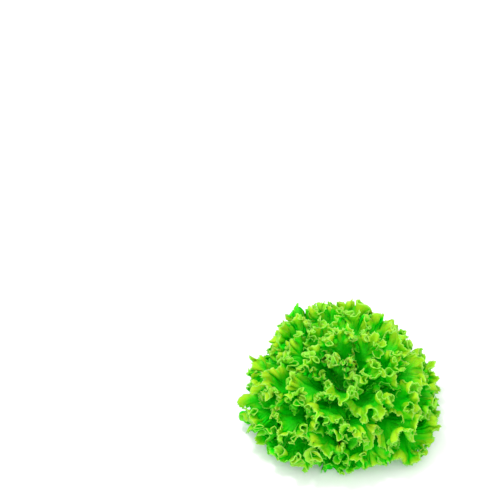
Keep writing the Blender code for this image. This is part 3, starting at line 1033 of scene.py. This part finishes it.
def leafMaterial(name, veinGroup, greenGroup):
    material, tree, surface = newMaterial(name)
    finish = leafFinish
    distance = attribute(tree, "fromMargin")
    veins = node(tree, "ShaderNodeGroup", {"node_tree": veinGroup},
                 Along=attribute(tree, "alongMargin"), Distance=distance)
    rib = calculate(tree, "MULTIPLY", attribute(tree, "ribShare"), finish["ribShare"])
    # the normal's height, for the painted shade on blades that face the floor
    facing = node(tree, "ShaderNodeNewGeometry").outputs["Normal"]
    up = node(tree, "ShaderNodeSeparateXYZ", Vector=facing).outputs["Z"]
    green = node(tree, "ShaderNodeGroup", {"node_tree": greenGroup}, Distance=distance,
                 Sky=attribute(tree, "openSky"), Rib=rib, Underside=attribute(tree, "underside"),
                 Vein=veins.outputs["Vein"], Up=up, Tint=leafTints[name] + (1,)).outputs["Color"]
    normal = node(tree, "ShaderNodeBump", Strength=finish["bump"], Distance=finish["relief"],
                  Height=veins.outputs["Height"]).outputs["Normal"]
    shader = node(tree, "ShaderNodeBsdfPrincipled", Base_Color=green, Roughness=finish["roughness"],
                  Specular_IOR_Level=finish["specular"], Normal=normal)
    through = node(tree, "ShaderNodeBsdfTranslucent", Color=green, Normal=normal)
    mix = node(tree, "ShaderNodeMixShader", i0=finish["through"], i1=shader.outputs[0],
               i2=through.outputs[0])
    tree.links.new(mix.outputs[0], surface)
    return material


def stemMaterial():  # pale pith, a ring of sap vessels, and a cut face that has begun to brown
    material, tree, surface = newMaterial("stem")
    finish = stemFinish
    place = node(tree, "ShaderNodeTexCoord").outputs["Object"]
    parts = node(tree, "ShaderNodeSeparateXYZ", Vector=place).outputs
    flat = node(tree, "ShaderNodeVectorMath", {"operation": "MULTIPLY"}, i0=place, i1=(1, 1, 0)).outputs[0]
    radius = node(tree, "ShaderNodeVectorMath", {"operation": "LENGTH"}, i0=flat).outputs["Value"]
    skin = mapped(tree, parts["Z"], *finish["skinZ"])
    colour = blended(tree, skin, finish["pith"] + (1,), finish["skin"] + (1,))
    # painted shade: the stem's top between the heart leaves takes the deep green of the shaded leaves
    colour = blended(tree, mapped(tree, parts["Z"], *finish["neckZ"]), colour, finish["neck"] + (1,))
    cut = calculate(tree, "SUBTRACT", 1.0, skin)
    off = calculate(tree, "ABSOLUTE", calculate(tree, "SUBTRACT", radius, finish["ringRadius"]))
    ring = mapped(tree, off, 0.0, finish["ringWidth"], 1.0, 0.0)
    dots = node(tree, "ShaderNodeTexVoronoi", Vector=place, Scale=1 / (2 * finish["ringWidth"])).outputs[0]
    dots = mapped(tree, dots, *finish["vesselEdge"], 1.0, finish["betweenVessels"])
    ring = calculate(tree, "MULTIPLY", ring, dots)
    stain = node(tree, "ShaderNodeTexNoise", Vector=place, Scale=finish["stainScale"]).outputs[0]
    stain = mapped(tree, stain, *finish["stainEdge"], *finish["stainShare"])
    stain = calculate(tree, "MINIMUM", calculate(tree, "ADD", stain, ring), finish["stainMost"])
    stain = calculate(tree, "MULTIPLY", stain, cut)
    colour = blended(tree, stain, colour, finish["browned"] + (1,))
    normal = node(tree, "ShaderNodeBump", Strength=finish["bump"], Distance=finish["relief"],
                  Height=stain).outputs["Normal"]
    shader = node(tree, "ShaderNodeBsdfPrincipled", Base_Color=colour, Roughness=finish["roughness"],
                  Specular_IOR_Level=finish["specular"], Normal=normal)
    tree.links.new(shader.outputs[0], surface)
    return material


def floorMaterial():
    material, tree, surface = newMaterial("pale_floor")
    shader = node(tree, "ShaderNodeBsdfPrincipled", Base_Color=stage["floor"] + (1,),
                  Roughness=stage["floorRoughness"])
    tree.links.new(shader.outputs[0], surface)
    return material


# Floor, light and camera

stage = {
    "floor": (0.93, 0.93, 0.93),
    "floorRoughness": 0.6,
    "floorSize": 8,
    "lightAim": (0, 0, 0.05),
    "world": 1.2,
    "lights": (((-0.35, 0.3, 1.1), 0.22, 6.8), ((0.2, -0.9, 1.0), 1.0, 3.6)),  # place, size, power
    "elevation": math.radians(53),
    "distance": 2.4,
    "frameWidth": 0.668,  # what the picture is wide at the head
    "pictureSize": 500,
    "headPlace": (351, 377),  # middle of the head in the picture
    "headMiddleZ": 42 * mm,
}


def addFloor():
    clearSelection()
    bpy.ops.mesh.primitive_plane_add(size=stage["floorSize"])
    floor = bpy.context.object
    floor.name = "floor"
    floor.data.materials.append(floorMaterial())


def addLights():
    world = bpy.data.worlds.new("soft_white")
    world.use_nodes = True
    world.node_tree.nodes["Background"].inputs["Color"].default_value = (1, 1, 1, 1)
    world.node_tree.nodes["Background"].inputs["Strength"].default_value = stage["world"]
    bpy.context.scene.world = world
    aim = Vector(stage["lightAim"])
    for place, size, power in stage["lights"]:
        clearSelection()
        bpy.ops.object.light_add(type="AREA", location=place)
        light = bpy.context.object
        light.data.size = size
        light.data.energy = power
        light.rotation_euler = (aim - Vector(place)).to_track_quat("-Z", "Y").to_euler()


def addCamera():
    tilt = stage["elevation"]
    back = Vector((0, -math.cos(tilt), math.sin(tilt)))
    up = Vector((0, math.sin(tilt), math.cos(tilt)))
    perPixel = stage["frameWidth"] / stage["pictureSize"]
    right = (stage["headPlace"][0] - stage["pictureSize"] / 2) * perPixel
    down = (stage["headPlace"][1] - stage["pictureSize"] / 2) * perPixel
    middle = Vector((0, 0, stage["headMiddleZ"]))
    clearSelection()
    bpy.ops.object.camera_add(location=middle + back * stage["distance"])
    camera = bpy.context.object
    aim = middle - Vector((right, 0, 0)) + up * down
    camera.rotation_euler = (aim - camera.location).to_track_quat("-Z", "Y").to_euler()
    camera.data.lens = camera.data.sensor_width * (aim - camera.location).length / stage["frameWidth"]
    bpy.context.scene.camera = camera
    bpy.context.scene.view_settings.view_transform = "Standard"


print("bending the leaves clear of each other")
bends = leafBends()
print("curling the leaves")
curled = [curledLeaf(number, bends[number]) for number in range(head["leafCount"])]
print("measuring the shade between them")
foliage = foliageTree([points for points, _, _ in curled])
rays = skyRays()
# sky shares, for the painted shade and painted light of the leaves
shades = [openSky(points, foliage, rays) for points, _, _ in curled]
print("building the leaves")
veins, green = leafVeins(), leafGreen()
materials = {name: leafMaterial(name, veins, green) for name in leafTints}
for number, (points, fan, share) in enumerate(curled):
    name = list(materials)[number * len(materials) // head["leafCount"]]
    leaf = addLeaf(number, points, fan, share, shades[number], materials[name])
print("stem")
addStem(stemMaterial())
print("floor, light and camera")
addFloor()
addLights()
addCamera()
